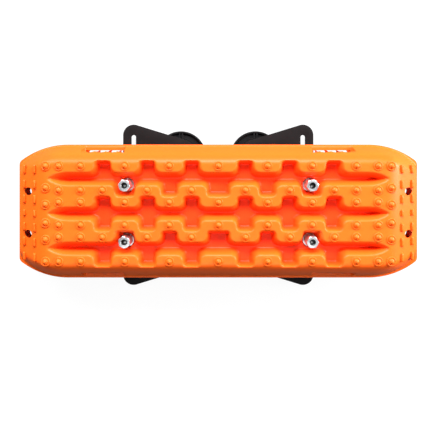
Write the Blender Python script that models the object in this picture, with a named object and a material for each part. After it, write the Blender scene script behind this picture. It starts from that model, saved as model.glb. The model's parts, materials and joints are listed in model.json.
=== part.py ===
"""Pair of nested vehicle traction boards on a four-stud, two-plate vacuum-cup mount.

Metres, +Z up. The origin is on the ground, under the centre of the two mounting
plates. X runs along the boards, +Y is the rear (the side the plates stick out most).
"""

import math

import bmesh
import bpy
from mathutils import Matrix, Vector
from mathutils.geometry import convex_hull_2d

MM = 0.001

# ---------------------------------------------------------------- driving sizes, mm
BOARD_LENGTH = 915.0
BOARD_WIDTH = 306.0
BOARD_HEIGHT = 60.0
BOARD_Y = -9.9             # the boards' centre line, measured from the plates' centre
LOWER_BASE_Z = 50.0        # ground to the lower board's rim
NEST_PITCH = 25.0          # the upper board's rim above the lower board's
LIP_WIDTH = 4.0
LIP_HEIGHT = 4.0
SIDE_FLARE = 26.0          # rim to top edge, long sides
END_FLARE = 10.5           # the same at the ends, before the ramp cuts it
SIDE_ARC_X = 345.0         # where the straight long side turns into the corner arc
SIDE_ARC_R = 178.6
CORNER_R = 14.0
RAMP_START_X = 385.0
RAMP_END_Z = 16.0
WALL = 3.5                 # thickness of floors, tops and ramps
WALL_ACROSS = 3.7          # the drafted walls' thickness, measured level
DRAFT = 0.42               # level shift of a channel wall per unit of depth
CHANNEL_FLOOR_Z = 35.0
POCKET_FLOOR_Z = 27.0
POCKET_R = 15.6

CHANNEL_Y = 75.95          # centre line of the two outer channels
CHANNEL_HALF = 13.35       # half their width between the teeth
MIDDLE_HALF = 13.7
FRAME_NOTCH_Y = 115.8      # how far the notches reach into the long sides
RIB_NOTCH_Y = 37.8         # and into the two ribs
FRAME_STATIONS = (58.7, 155.3, 252.5)
RIB_STATIONS = (0.0, 107.0, 204.0)
TIP_X = 369.0
BOAT_X = 325.0

STUD_R = 9.5
STUD_HEIGHT = 7.5
FRAME_ROW_Y = 103.8
OUTER_ROW_Y = 51.1
INNER_ROW_Y = 24.7
END_COLUMNS = (300.0, 347.5)
LAST_COLUMN = 376.0
LAST_ROWS = (103.8, 56.2, 20.1)

HAND_HOLD_X = 261.5
HAND_HOLD_LENGTH = 94.0
HAND_HOLD_Z = (12.0, 40.0)
END_HOLE = (423.5, 47.4)
END_HOLE_R = 8.5

PIN_X = 204.0              # the four clamping studs
PIN_DY = 61.5
PIN_HOLE_R = 6.3

PLATE_Z = 25.0
PLATE_THICKNESS = 5.0
PLATE_CORNER = (204.3, 168.1, 25.5)
PLATE_LOBE = (91.3, 117.2, 41.0)
SLOT_WIDTH = 11.0
SLOT_Y = (30.0, 168.5)

CUP_X = 91.3
CUP_Y = 117.2
CUP_R = 61.5
CUP_RIM_Z = 15.0
PUMP_OFFSET = 50.5

GAP = 0.3                  # between pieces that touch


# ---------------------------------------------------------------- materials
def material(name, colour, roughness, metallic=0.0):
    made = bpy.data.materials.new(name)
    made.use_nodes = True
    shader = made.node_tree.nodes["Principled BSDF"]
    shader.inputs["Base Color"].default_value = (*colour, 1.0)
    shader.inputs["Roughness"].default_value = roughness
    shader.inputs["Metallic"].default_value = metallic
    made.diffuse_color = (*colour, 1.0)
    return made


# ---------------------------------------------------------------- mesh helpers
def finish(name, mesh_edit, paint, smooth=True):
    """A bmesh in millimetres becomes an object in metres."""
    bmesh.ops.recalc_face_normals(mesh_edit, faces=mesh_edit.faces)
    bmesh.ops.scale(mesh_edit, vec=(MM, MM, MM), verts=mesh_edit.verts)
    mesh = bpy.data.meshes.new(name)
    mesh_edit.to_mesh(mesh)
    mesh_edit.free()
    if smooth:
        mesh.shade_smooth()
        mesh.set_sharp_from_angle(angle=math.radians(35))
    if paint is not None:
        mesh.materials.append(paint)
    made = bpy.data.objects.new(name, mesh)
    bpy.context.scene.collection.objects.link(made)
    return made


def loft(rings):
    """A closed solid through rings of points, each the same count, capped at both ends."""
    edit = bmesh.new()
    rows = [[edit.verts.new(point) for point in ring] for ring in rings]
    count = len(rows[0])
    for low, high in zip(rows, rows[1:]):
        for i in range(count):
            j = (i + 1) % count
            edit.faces.new((low[i], low[j], high[j], high[i]))
    edit.faces.new(rows[0][::-1])
    edit.faces.new(rows[-1])
    return edit


def tube(outer, inner):
    """A closed ring-shaped solid between an outer and an inner wall, both listed bottom to top."""
    edit = bmesh.new()
    wall = [[edit.verts.new(point) for point in ring] for ring in outer + inner[::-1]]
    count = len(wall[0])
    for low, high in zip(wall, wall[1:] + wall[:1]):
        for i in range(count):
            j = (i + 1) % count
            edit.faces.new((low[i], low[j], high[j], high[i]))
    return edit


def circle(radius, z, count, centre=(0.0, 0.0)):
    step = 2 * math.pi / count
    return [
        (centre[0] + radius * math.cos(i * step), centre[1] + radius * math.sin(i * step), z)
        for i in range(count)
    ]


def hexagon(across_flats, z, count=12, limit=None):
    """Points round a hexagon with a corner on +X; limit rounds the corners off for a chamfer."""
    points = []
    for i in range(count):
        angle = 2 * math.pi * i / count
        off_flat = angle % (math.pi / 3) - math.pi / 6
        radius = across_flats / 2 / math.cos(off_flat)
        if limit:
            radius = min(radius, limit)
        points.append((radius * math.cos(angle), radius * math.sin(angle), z))
    return points


def carve(target, cutter, operation="DIFFERENCE", keep_cutter=False):
    """Applies one exact Boolean to target's mesh and puts the cutter away."""
    modifier = target.modifiers.new(operation.lower(), "BOOLEAN")
    modifier.operation = operation
    modifier.solver = "EXACT"
    modifier.object = cutter
    bpy.context.view_layer.update()
    graph = bpy.context.evaluated_depsgraph_get()
    mesh = bpy.data.meshes.new_from_object(target.evaluated_get(graph))
    target.modifiers.remove(modifier)
    old = target.data
    target.data = mesh
    bpy.data.meshes.remove(old)
    if not keep_cutter:
        bpy.data.objects.remove(cutter, do_unlink=True)


def place(source, name, location=(0.0, 0.0, 0.0), turn=0.0, mirror=False, parent=None):
    """Another piece of the same shape as source, at a place given in millimetres."""
    made = bpy.data.objects.new(name, source.data)
    bpy.context.scene.collection.objects.link(made)
    made.location = Vector(location) * MM
    made.rotation_euler = (0.0, 0.0, turn)
    if mirror:
        made.scale = (1.0, -1.0, 1.0)
    if parent is not None:
        made.parent = parent
    return made


# ---------------------------------------------------------------- board outline
def side_inset(z):
    return LIP_WIDTH + (SIDE_FLARE - LIP_WIDTH) * (z - LIP_HEIGHT) / (BOARD_HEIGHT - LIP_HEIGHT)


def end_inset(z):
    return LIP_WIDTH + (END_FLARE - LIP_WIDTH) * (z - LIP_HEIGHT) / (BOARD_HEIGHT - LIP_HEIGHT)


def board_outline(inset_side, inset_end, z, arc_steps=4, corner_steps=2):
    """Straight long sides, one large arc and a small corner at each end, anticlockwise."""
    centre_y = BOARD_WIDTH / 2 - SIDE_ARC_R
    big = SIDE_ARC_R - inset_side
    end_x = BOARD_LENGTH / 2 - inset_end
    small_x = end_x - CORNER_R
    small_y = centre_y + math.sqrt((big - CORNER_R) ** 2 - (small_x - SIDE_ARC_X) ** 2)
    meet = math.atan2(small_y - centre_y, small_x - SIDE_ARC_X)
    quarter = []
    for i in range(corner_steps):
        angle = meet * i / corner_steps
        quarter.append((small_x + CORNER_R * math.cos(angle), small_y + CORNER_R * math.sin(angle)))
    for i in range(arc_steps + 1):
        angle = meet + (math.pi / 2 - meet) * i / arc_steps
        quarter.append((SIDE_ARC_X + big * math.cos(angle), centre_y + big * math.sin(angle)))
    points = quarter + [(-x, y) for x, y in quarter[::-1]]
    points += [(-x, -y) for x, y in quarter] + [(x, -y) for x, y in quarter[::-1]]
    return [(x, y, z) for x, y in points]


def ramped(rings, drop):
    """The lofted body with both ends cut down to the entry ramps, drop below the outer skin."""
    edit = loft(rings)
    rise = BOARD_HEIGHT - RAMP_END_Z
    run = BOARD_LENGTH / 2 - RAMP_START_X
    for side in (1, -1):
        normal = Vector((side * rise, 0, run)).normalized()
        point = Vector((side * RAMP_START_X, 0, BOARD_HEIGHT)) - normal * drop
        cut = bmesh.ops.bisect_plane(
            edit,
            geom=edit.verts[:] + edit.edges[:] + edit.faces[:],
            dist=1e-5,
            plane_co=point,
            plane_no=normal,
            clear_outer=True,
        )
        edges = [g for g in cut["geom_cut"] if isinstance(g, bmesh.types.BMEdge)]
        bmesh.ops.holes_fill(edit, edges=edges)
    return edit


# ---------------------------------------------------------------- channels
def notch(station, line, end, side, inset, mouth, shoulder, tip):
    """One notch of a channel's edge, listed from +X to -X; inset pulls every wall inwards."""
    line_y = line - side * inset
    end_y = end - side * inset
    shoulder_y = end_y - side * 7.0
    rows = ((mouth, line_y), (shoulder, shoulder_y), (tip, end_y))
    right = [(station + half - inset, y) for half, y in rows]
    left = [(station - half + inset, y) for half, y in rows[::-1]]
    return right + left


def edge(stations, line, end, side, inset):
    points = []
    for station in sorted({s * x for x in stations for s in (1, -1)}, reverse=True):
        if abs(station) == RIB_STATIONS[2] and RIB_STATIONS[2] in stations:
            points += notch(station, line, end, side, inset * 0.7, 31.0, 20.5, 15.0)
        elif station == 0.0:
            points += notch(station, line, end, side, inset, 32.0, 24.5, 19.5)
        else:
            points += notch(station, line, end, side, inset, 25.5, 18.5, 13.5)
    return points


def tip(centre, half, inset):
    """The boat-shaped right end of a channel, from its lower edge round to its upper edge."""
    start = BOAT_X - 0.5 * inset
    end = TIP_X - 2.3 * inset
    height = half - inset
    steps = ((0.0, 1.0), (0.45, 0.87), (0.8, 0.5), (1.0, 0.08))
    upper = [(start + (end - start) * along, centre + height * share) for along, share in steps]
    lower = [(x, 2 * centre - y) for x, y in upper]
    return lower + upper[::-1]


def channel(kind, inset, z):
    """kind 1 is the rear channel, 0 the middle one and -1 the front one; anticlockwise."""
    if kind:
        centre, half = CHANNEL_Y, CHANNEL_HALF
        upper = edge(FRAME_STATIONS, centre + half, FRAME_NOTCH_Y, 1, inset)
        lower = edge(RIB_STATIONS, centre - half, RIB_NOTCH_Y, -1, inset)
    else:
        centre, half = 0.0, MIDDLE_HALF
        upper = edge(FRAME_STATIONS, half, RIB_NOTCH_Y, 1, inset)
        lower = edge(FRAME_STATIONS, -half, -RIB_NOTCH_Y, -1, inset)
    right = tip(centre, half, inset)
    left = [(-x, y) for x, y in right[::-1]]
    points = right + upper + left + lower[::-1]
    if kind == -1:
        points = [(x, -y) for x, y in points[::-1]]
    return [(x, y, z) for x, y in points]


def channels(floor_z, top_z, thicker):
    """The three channels as one cutter, from floor_z to top_z, grown by thicker."""
    rings = []
    for kind in (1, 0, -1):
        low = channel(kind, DRAFT * (BOARD_HEIGHT - floor_z) - thicker, floor_z)
        high = channel(kind, DRAFT * (BOARD_HEIGHT - top_z) - thicker, top_z)
        rings.append((low, high))
    cutter = finish("channel_cutter", loft(rings[0]), None)
    for pair in rings[1:]:
        carve(cutter, finish("next_channel", loft(pair), None), "UNION")
    return cutter


def pins():
    return [(sx * PIN_X, sy * PIN_DY) for sx in (-1, 1) for sy in (1, -1)]


def board_mesh(paint):
    """One traction board: an open-backed moulding of even wall thickness."""
    outer = ramped(
        [
            board_outline(0, 0, 0),
            board_outline(0, 0, LIP_HEIGHT),
            board_outline(LIP_WIDTH, LIP_WIDTH, LIP_HEIGHT),
            board_outline(SIDE_FLARE, END_FLARE, BOARD_HEIGHT),
        ],
        0.0,
    )
    board = finish("board", outer, paint)

    cavity = finish(
        "cavity",
        ramped(
            [
                board_outline(side_inset(-1) + WALL_ACROSS, end_inset(-1) + WALL_ACROSS, -1),
                board_outline(
                    side_inset(BOARD_HEIGHT - WALL) + WALL_ACROSS,
                    end_inset(BOARD_HEIGHT - WALL) + WALL_ACROSS,
                    BOARD_HEIGHT - WALL,
                ),
            ],
            WALL,
        ),
        None,
    )
    trough = channels(CHANNEL_FLOOR_Z - WALL, BOARD_HEIGHT - 1, WALL_ACROSS)
    for x, y in pins():
        under = loft(
            [
                circle(POCKET_R + WALL, POCKET_FLOOR_Z - WALL, 12, (x, y)),
                circle(POCKET_R + WALL + 0.4, CHANNEL_FLOOR_Z + 2, 12, (x, y)),
            ]
        )
        carve(trough, finish("pocket_under", under, None), "UNION")
    carve(cavity, trough)

    cut = channels(CHANNEL_FLOOR_Z, BOARD_HEIGHT + 1, 0.0)
    for x, y in pins():
        pocket = loft(
            [
                circle(POCKET_R, POCKET_FLOOR_Z, 12, (x, y)),
                circle(POCKET_R + 0.4, CHANNEL_FLOOR_Z + 3, 12, (x, y)),
            ]
        )
        carve(cut, finish("pocket", pocket, None), "UNION")
    carve(board, cut)
    carve(board, cavity)

    for x, y in pins():
        hole = loft([circle(PIN_HOLE_R, POCKET_FLOOR_Z - 8, 10, (x, y)), circle(PIN_HOLE_R, POCKET_FLOOR_Z + 4, 10, (x, y))])
        carve(board, finish("pin_hole", hole, None))
    for sx in (-1, 1):
        for sy in (-1, 1):
            x, y = sx * END_HOLE[0], sy * END_HOLE[1]
            hole = loft([circle(END_HOLE_R, 5, 10, (x, y)), circle(END_HOLE_R, 70, 10, (x, y))])
            carve(board, finish("end_hole", hole, None))
            grip = bmesh.new()
            bmesh.ops.create_cube(grip, size=1.0)
            low, high = HAND_HOLD_Z
            bmesh.ops.scale(grip, vec=(HAND_HOLD_LENGTH, 48, high - low), verts=grip.verts)
            bmesh.ops.translate(grip, vec=(sx * HAND_HOLD_X, sy * 146, (low + high) / 2), verts=grip.verts)
            upright = [
                e for e in grip.edges
                if abs(e.verts[0].co.y - e.verts[1].co.y) > 1
            ]
            bmesh.ops.bevel(grip, geom=upright, offset=8, segments=1, profile=0.5, affect="EDGES")
            carve(board, finish("hand_hold", grip, None))

    places = []
    for x in RIB_STATIONS:
        places += [(x, FRAME_ROW_Y), (x, INNER_ROW_Y)]
    for x in FRAME_STATIONS:
        places += [(x, OUTER_ROW_Y)]
    for x in END_COLUMNS:
        places += [(x, FRAME_ROW_Y), (x, OUTER_ROW_Y), (x, INNER_ROW_Y)]
    places += [(LAST_COLUMN, y) for y in LAST_ROWS]
    studs = bmesh.new()
    for x, y in sorted({(sx * px, sy * py) for px, py in places for sx in (-1, 1) for sy in (-1, 1)}):
        bmesh.ops.create_cone(
            studs,
            cap_ends=True,
            segments=4,
            radius1=STUD_R,
            radius2=0.0,
            depth=STUD_HEIGHT + 1.0,
            matrix=Matrix.Translation((x, y, BOARD_HEIGHT - 1.0 + (STUD_HEIGHT + 1.0) / 2)),
        )
    carve(board, finish("grip_studs", studs, None), "UNION")
    return board


# ---------------------------------------------------------------- mount pieces
def slot_cutter(x, low, high):
    """An upright stadium-shaped cutter along Y."""
    half = SLOT_WIDTH / 2
    points = []
    for i in range(7):
        angle = math.pi * i / 6
        points.append((x + half * math.cos(angle), high - half + half * math.sin(angle)))
    for i in range(7):
        angle = math.pi + math.pi * i / 6
        points.append((x + half * math.cos(angle), low + half + half * math.sin(angle)))
    return loft([[(px, py, z) for px, py in points] for z in (PLATE_Z - 3, PLATE_Z + PLATE_THICKNESS + 3)])


def plate_mesh(paint):
    """The right-hand plate: the hull of two outer corners and two cup lobes, with two slots."""
    rim = []
    for x, y, radius in (PLATE_CORNER, PLATE_LOBE):
        for side in (1, -1):
            rim += [Vector(p[:2]) for p in circle(radius, 0, 24, (x, side * y))]
    hull = [rim[i] for i in convex_hull_2d(rim)]
    area = sum(a.x * b.y - b.x * a.y for a, b in zip(hull, hull[1:] + hull[:1]))
    if area < 0:
        hull = hull[::-1]
    plate = finish(
        "plate",
        loft([[(p.x, p.y, z) for p in hull] for z in (PLATE_Z, PLATE_Z + PLATE_THICKNESS)]),
        paint,
    )
    for low, high in (SLOT_Y, (-SLOT_Y[1], -SLOT_Y[0])):
        carve(plate, finish("slot", slot_cutter(PLATE_CORNER[0], low, high), None))
    for side in (1, -1):
        hole = loft([circle(4.7, PLATE_Z - 3, 12, (CUP_X, side * CUP_Y)), circle(4.7, PLATE_Z + 9, 12, (CUP_X, side * CUP_Y))])
        carve(plate, finish("screw_hole", hole, None))
    return plate


def cup_pad_mesh(paint):
    """Rubber sealing pad, hollow underneath."""
    n = 20
    rings = [circle(50, 2.6, n), circle(53, 0, n), circle(59, 0, n), circle(CUP_R, 2.4, n), circle(CUP_R, 6.0, n)]
    return finish("cup_pad", loft(rings), paint)


def cup_housing_mesh(paint):
    """Dished cover: raised rim, ring-shaped well, centre boss, two radial ribs, pump barrel."""
    n = 20
    low = 6.0 + GAP
    rings = [
        circle(CUP_R, low, n),
        circle(CUP_R, CUP_RIM_Z, n),
        circle(CUP_R - 4.5, CUP_RIM_Z, n),
        circle(CUP_R - 6.0, 10.0, n),
        circle(27, 10.0, n),
        circle(24, PLATE_Z - GAP, n),
        circle(4.4, PLATE_Z - GAP, n),
        circle(4.4, 11.0, n),
    ]
    housing = finish("cup_housing", loft(rings), paint)
    for side in (1, -1):
        rib = bmesh.new()
        bmesh.ops.create_cube(rib, size=1.0)
        bmesh.ops.scale(rib, vec=(3.6, 20.0, 5.6), verts=rib.verts)
        bmesh.ops.translate(rib, vec=(side * 3.4, 47.5, 11.6), verts=rib.verts)
        carve(housing, finish("rib", rib, None), "UNION")
    barrel = loft([circle(8.4, 9.0, 12, (PUMP_OFFSET, 0)), circle(8.4, 19.0, 12, (PUMP_OFFSET, 0))])
    carve(housing, finish("barrel", barrel, None), "UNION")
    bore = loft([circle(6.1, 8.4, 12, (PUMP_OFFSET, 0)), circle(6.1, 22.0, 12, (PUMP_OFFSET, 0))])
    carve(housing, finish("bore", bore, None))
    return housing


def plunger_mesh(paint):
    """Thumb pump plunger; its own origin is on the pump's axis at ground height."""
    rings = [circle(5.7, 18.2, 12), circle(5.7, 25.0, 12), circle(7.6, 25.0, 12), circle(7.6, 29.4, 12)]
    return finish("pump_plunger", loft(rings), paint)


def spring_mesh(paint):
    """Return spring: a round wire wound from the barrel's floor to the plunger."""
    wire, mean, turns, low, high = 0.5, 4.4, 3, 8.4 + GAP, 18.2 - GAP
    steps = 7 * turns
    rings = []
    for i in range(steps + 1):
        angle = 2 * math.pi * turns * i / steps
        z = low + wire + (high - low - 2 * wire) * i / steps
        ring = []
        for k in range(4):
            roll = 2 * math.pi * k / 4
            radius = mean + wire * math.cos(roll)
            ring.append((radius * math.cos(angle), radius * math.sin(angle), z + wire * math.sin(roll)))
        rings.append(ring)
    return finish("pump_spring", loft(rings), paint)


def screw_mesh(paint):
    """Domed-head screw that holds a plate down on a cup's boss."""
    top = PLATE_Z + PLATE_THICKNESS + GAP
    rings = [circle(4.0, 12.0, 10), circle(4.0, top, 10), circle(8.0, top, 10), circle(8.0, top + 2.0, 10), circle(4.8, top + 4.4, 10)]
    return finish("cup_screw", loft(rings), paint)


def stud_mesh(paint):
    """Long hex-headed stud bolt, head under the plate, shank up through both boards."""
    head = PLATE_Z - GAP
    rings = [
        hexagon(17.0, head - 5.6),
        hexagon(17.0, head),
        circle(5.0, head, 12),
        circle(5.0, 131.5, 12),
        circle(2.6, 134.0, 12),
    ]
    return finish("stud_bolt", loft(rings), paint)


def ring_mesh(name, outer, inner, low, high, paint, count=10):
    return finish(name, tube([circle(outer, low, count), circle(outer, high, count)], [circle(inner, low, count), circle(inner, high, count)]), paint)


def nut_mesh(name, flats, bore, low, high, chamfer, paint, mouth=None):
    """Hexagon nut; chamfer rounds the corners at its top, and mouth adds a countersink there."""
    outer = [hexagon(flats, low), hexagon(flats, high)]
    if chamfer:
        outer[1:] = [hexagon(flats, high - chamfer), hexagon(flats, high, 12, flats / 2 * 1.02)]
    if mouth:
        inner = [circle(bore, low, 12), circle(bore, high - (mouth - bore), 12), circle(mouth, high, 12)]
    else:
        inner = [circle(bore, low, 12), circle(bore, high, 12)]
    return finish(name, tube(outer, inner), paint)


# ---------------------------------------------------------------- assembly
def build():
    for old in list(bpy.data.objects):
        bpy.data.objects.remove(old, do_unlink=True)

    orange = material("orange_plastic", (1.0, 0.19, 0.02), 0.42)
    orange_low = material("orange_plastic_lower", (1.0, 0.17, 0.018), 0.45)
    black_coat = material("black_powder_coat", (0.022, 0.021, 0.022), 0.55)
    black_plastic = material("black_plastic", (0.02, 0.02, 0.021), 0.45)
    rubber = material("black_rubber", (0.018, 0.018, 0.018), 0.8)
    zinc = material("zinc_plate", (0.72, 0.73, 0.74), 0.3, 1.0)
    steel = material("steel", (0.6, 0.6, 0.61), 0.35, 1.0)
    spring_steel = material("spring_steel", (0.45, 0.45, 0.46), 0.4, 1.0)
    red = material("red_plastic", (0.55, 0.03, 0.02), 0.45)

    # Two boards, one inside the other.
    board = board_mesh(orange)
    boards = bpy.data.objects.new("boards_frame", None)
    bpy.context.scene.collection.objects.link(boards)
    boards.location = (0.0, BOARD_Y * MM, LOWER_BASE_Z * MM)
    place(board, "upper_board", (0, 0, NEST_PITCH), parent=boards)
    lower = place(board, "lower_board", (0, 0, 0), parent=boards)
    lower.data = board.data.copy()
    lower.data.materials.clear()
    lower.data.materials.append(orange_low)

    # Two mirrored plates.
    plate = plate_mesh(black_coat)
    place(plate, "bracket_plate_right")
    place(plate, "bracket_plate_left", turn=math.pi)

    # Four vacuum cups.
    cup_parts = {
        "cup_pad": cup_pad_mesh(rubber),
        "cup_housing": cup_housing_mesh(black_plastic),
        "cup_screw": screw_mesh(steel),
        "pump_plunger": plunger_mesh(red),
        "pump_spring": spring_mesh(spring_steel),
    }
    sides = (("left", -1), ("right", 1))
    ends = (("rear", 1), ("front", -1))
    mirrored = cup_parts["cup_housing"].data.copy()
    mirrored.transform(Matrix.Diagonal((-1.0, 1.0, 1.0, 1.0)))
    mirrored.flip_normals()
    for side, sx in sides:
        for end, sy in ends:
            tag = f"{side}_{end}"
            centre = (sx * CUP_X, sy * CUP_Y, 0.0)
            pump = (sx * (CUP_X - PUMP_OFFSET), sy * CUP_Y, 0.0)
            place(cup_parts["cup_pad"], f"cup_pad_{tag}", centre)
            place(cup_parts["cup_screw"], f"cup_screw_{tag}", centre)
            place(cup_parts["pump_plunger"], f"pump_plunger_{tag}", pump)
            place(cup_parts["pump_spring"], f"pump_spring_{tag}", pump)
            # Ribs point away from the middle; the pump barrel points at the centre line.
            housing = place(cup_parts["cup_housing"], f"cup_housing_{tag}", centre, turn=0.0 if sy > 0 else math.pi)
            if sx * sy > 0:
                housing.data = mirrored
    # Four clamping stacks.
    floor_low = LOWER_BASE_Z + POCKET_FLOOR_Z
    floor_high = floor_low + NEST_PITCH
    plate_top = PLATE_Z + PLATE_THICKNESS
    washer_top = floor_high + GAP + 3.0
    stack = {
        "stud_bolt": stud_mesh(steel),
        "slot_washer": ring_mesh("slot_washer", 12.0, 5.4, plate_top + GAP, plate_top + GAP + 2.0, zinc),
        "lock_nut": nut_mesh("lock_nut", 17.0, 5.3, plate_top + 2 * GAP + 2.0, plate_top + 2 * GAP + 10.0, 0.0, zinc),
        "support_nut": nut_mesh("support_nut", 17.0, 5.3, floor_low - WALL - GAP * 2 - 10.5, floor_low - WALL - GAP * 2 - 2.5, 0.0, zinc),
        "support_washer": ring_mesh("support_washer", 15.0, 5.4, floor_low - WALL - GAP - 2.5, floor_low - WALL - GAP, zinc),
        "board_spacer": ring_mesh("board_spacer", 10.0, 5.4, floor_low + GAP, floor_high - WALL - GAP, black_plastic),
        "clamp_washer": ring_mesh("clamp_washer", 15.0, 5.4, floor_high + GAP, washer_top, zinc, 14),
        "coupling_nut": nut_mesh("coupling_nut", 24.0, 5.95, washer_top + GAP, 141.0, 1.4, zinc, 8.1),
    }
    for side, sx in sides:
        for end, sy in ends:
            centre = (sx * PIN_X, BOARD_Y + sy * PIN_DY, 0.0)
            for name, source in stack.items():
                place(source, f"{name}_{side}_{end}", centre)

    for source in [board, plate, *cup_parts.values(), *stack.values()]:
        bpy.data.objects.remove(source, do_unlink=True)


build()
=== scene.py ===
import json
import math

import bmesh
import bpy
import numpy as np
from mathutils import Matrix, Vector

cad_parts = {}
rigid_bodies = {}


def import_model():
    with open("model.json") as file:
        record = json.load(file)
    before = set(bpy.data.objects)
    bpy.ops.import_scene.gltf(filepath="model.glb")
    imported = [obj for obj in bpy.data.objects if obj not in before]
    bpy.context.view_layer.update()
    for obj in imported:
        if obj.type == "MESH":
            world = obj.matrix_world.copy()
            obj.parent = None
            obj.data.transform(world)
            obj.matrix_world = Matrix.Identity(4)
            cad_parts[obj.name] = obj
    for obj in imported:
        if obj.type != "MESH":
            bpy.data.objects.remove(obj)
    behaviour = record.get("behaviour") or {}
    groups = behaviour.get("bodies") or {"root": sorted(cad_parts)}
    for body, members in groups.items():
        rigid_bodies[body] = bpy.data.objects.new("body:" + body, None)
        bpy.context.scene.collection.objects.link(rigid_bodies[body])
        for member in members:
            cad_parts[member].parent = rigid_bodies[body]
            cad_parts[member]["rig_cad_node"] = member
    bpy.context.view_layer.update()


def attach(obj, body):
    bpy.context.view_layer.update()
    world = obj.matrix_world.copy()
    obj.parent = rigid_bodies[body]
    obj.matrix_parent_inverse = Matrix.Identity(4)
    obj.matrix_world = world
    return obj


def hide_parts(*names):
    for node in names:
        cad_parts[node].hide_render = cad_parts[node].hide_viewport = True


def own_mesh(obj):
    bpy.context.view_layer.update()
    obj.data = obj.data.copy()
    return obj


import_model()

MM = 0.001
SIDES = (("left", -1), ("right", 1))
ENDS = (("rear", 1), ("front", -1))

# Clear out whatever the start-up file brought, other than the frame.
for old in list(bpy.data.objects):
    if "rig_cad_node" not in old and not old.name.startswith("body:"):
        bpy.data.objects.remove(old, do_unlink=True)


# =====================================================================
# Camera: straight down on the boards, as the photograph is taken
# =====================================================================
scene = bpy.context.scene
camera_data = bpy.data.cameras.new("camera")
camera_data.sensor_width = 36.0
camera_data.lens = 36.25
camera_data.shift_y = -0.1208
camera_data.clip_start = 0.05
camera_data.clip_end = 30.0
camera = bpy.data.objects.new("camera", camera_data)
camera.location = (-0.003, 0.0971, 1.085)
scene.collection.objects.link(camera)
scene.camera = camera
scene.view_settings.view_transform = "Standard"


# =====================================================================
# Procedural materials
# =====================================================================
class Nodes:
    """A short way to write a node tree."""

    def __init__(self, name):
        self.material = bpy.data.materials.new(name)
        self.material.use_nodes = True
        self.tree = self.material.node_tree
        self.shader = self.tree.nodes["Principled BSDF"]
        self.where = self.tree.nodes.new("ShaderNodeTexCoord").outputs["Object"]

    def link(self, value, socket):
        if isinstance(value, bpy.types.NodeSocket):
            self.tree.links.new(value, socket)
        elif value is not None:
            socket.default_value = value

    def noise(self, scale, detail=3.0, roughness=0.5, stretch=None):
        node = self.tree.nodes.new("ShaderNodeTexNoise")
        node.inputs["Scale"].default_value = scale
        node.inputs["Detail"].default_value = detail
        node.inputs["Roughness"].default_value = roughness
        source = self.where
        if stretch:
            mapping = self.tree.nodes.new("ShaderNodeMapping")
            mapping.inputs["Scale"].default_value = stretch
            self.link(source, mapping.inputs["Vector"])
            source = mapping.outputs["Vector"]
        self.link(source, node.inputs["Vector"])
        return node.outputs["Fac"]

    def cells(self, scale, feature="F1"):
        node = self.tree.nodes.new("ShaderNodeTexVoronoi")
        node.feature = feature
        node.inputs["Scale"].default_value = scale
        self.link(self.where, node.inputs["Vector"])
        return node.outputs["Distance"]

    def remap(self, value, low, high, to_low, to_high):
        node = self.tree.nodes.new("ShaderNodeMapRange")
        self.link(value, node.inputs["Value"])
        for key, number in zip(("From Min", "From Max", "To Min", "To Max"), (low, high, to_low, to_high)):
            node.inputs[key].default_value = number
        return node.outputs["Result"]

    def ramp(self, value, stops):
        node = self.tree.nodes.new("ShaderNodeValToRGB")
        self.link(value, node.inputs["Fac"])
        elements = node.color_ramp.elements
        while len(elements) < len(stops):
            elements.new(0.5)
        for element, (at, colour) in zip(elements, stops):
            element.position = at
            element.color = (*colour, 1.0)
        return node.outputs["Color"]

    def math(self, operation, a, b=0.0):
        node = self.tree.nodes.new("ShaderNodeMath")
        node.operation = operation
        self.link(a, node.inputs[0])
        self.link(b, node.inputs[1])
        return node.outputs[0]

    def mix(self, factor, a, b, blend="MIX"):
        node = self.tree.nodes.new("ShaderNodeMix")
        node.data_type = "RGBA"
        node.blend_type = blend
        self.link(factor, node.inputs[0])
        self.link(a if isinstance(a, bpy.types.NodeSocket) else (*a, 1.0), node.inputs[6])
        self.link(b if isinstance(b, bpy.types.NodeSocket) else (*b, 1.0), node.inputs[7])
        return node.outputs[2]

    def axis(self, index):
        """One coordinate in metres, in the part's own frame."""
        node = self.tree.nodes.new("ShaderNodeSeparateXYZ")
        self.link(self.where, node.inputs[0])
        return node.outputs[index]

    def height(self):
        return self.axis(2)

    def bump(self, value, strength, distance, after=None):
        node = self.tree.nodes.new("ShaderNodeBump")
        node.inputs["Strength"].default_value = strength
        node.inputs["Distance"].default_value = distance
        self.link(value, node.inputs["Height"])
        if after is not None:
            self.link(after, node.inputs["Normal"])
        return node.outputs["Normal"]

    def edges(self, radius):
        """1 on worn outer edges, 0 elsewhere."""
        node = self.tree.nodes.new("ShaderNodeNewGeometry")
        return self.remap(node.outputs["Pointiness"], 0.5, 0.5 + radius, 0.0, 1.0)

    def set(self, **values):
        for key, value in values.items():
            self.link(value, self.shader.inputs[key.replace("_", " ")])
        return self.material


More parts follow.
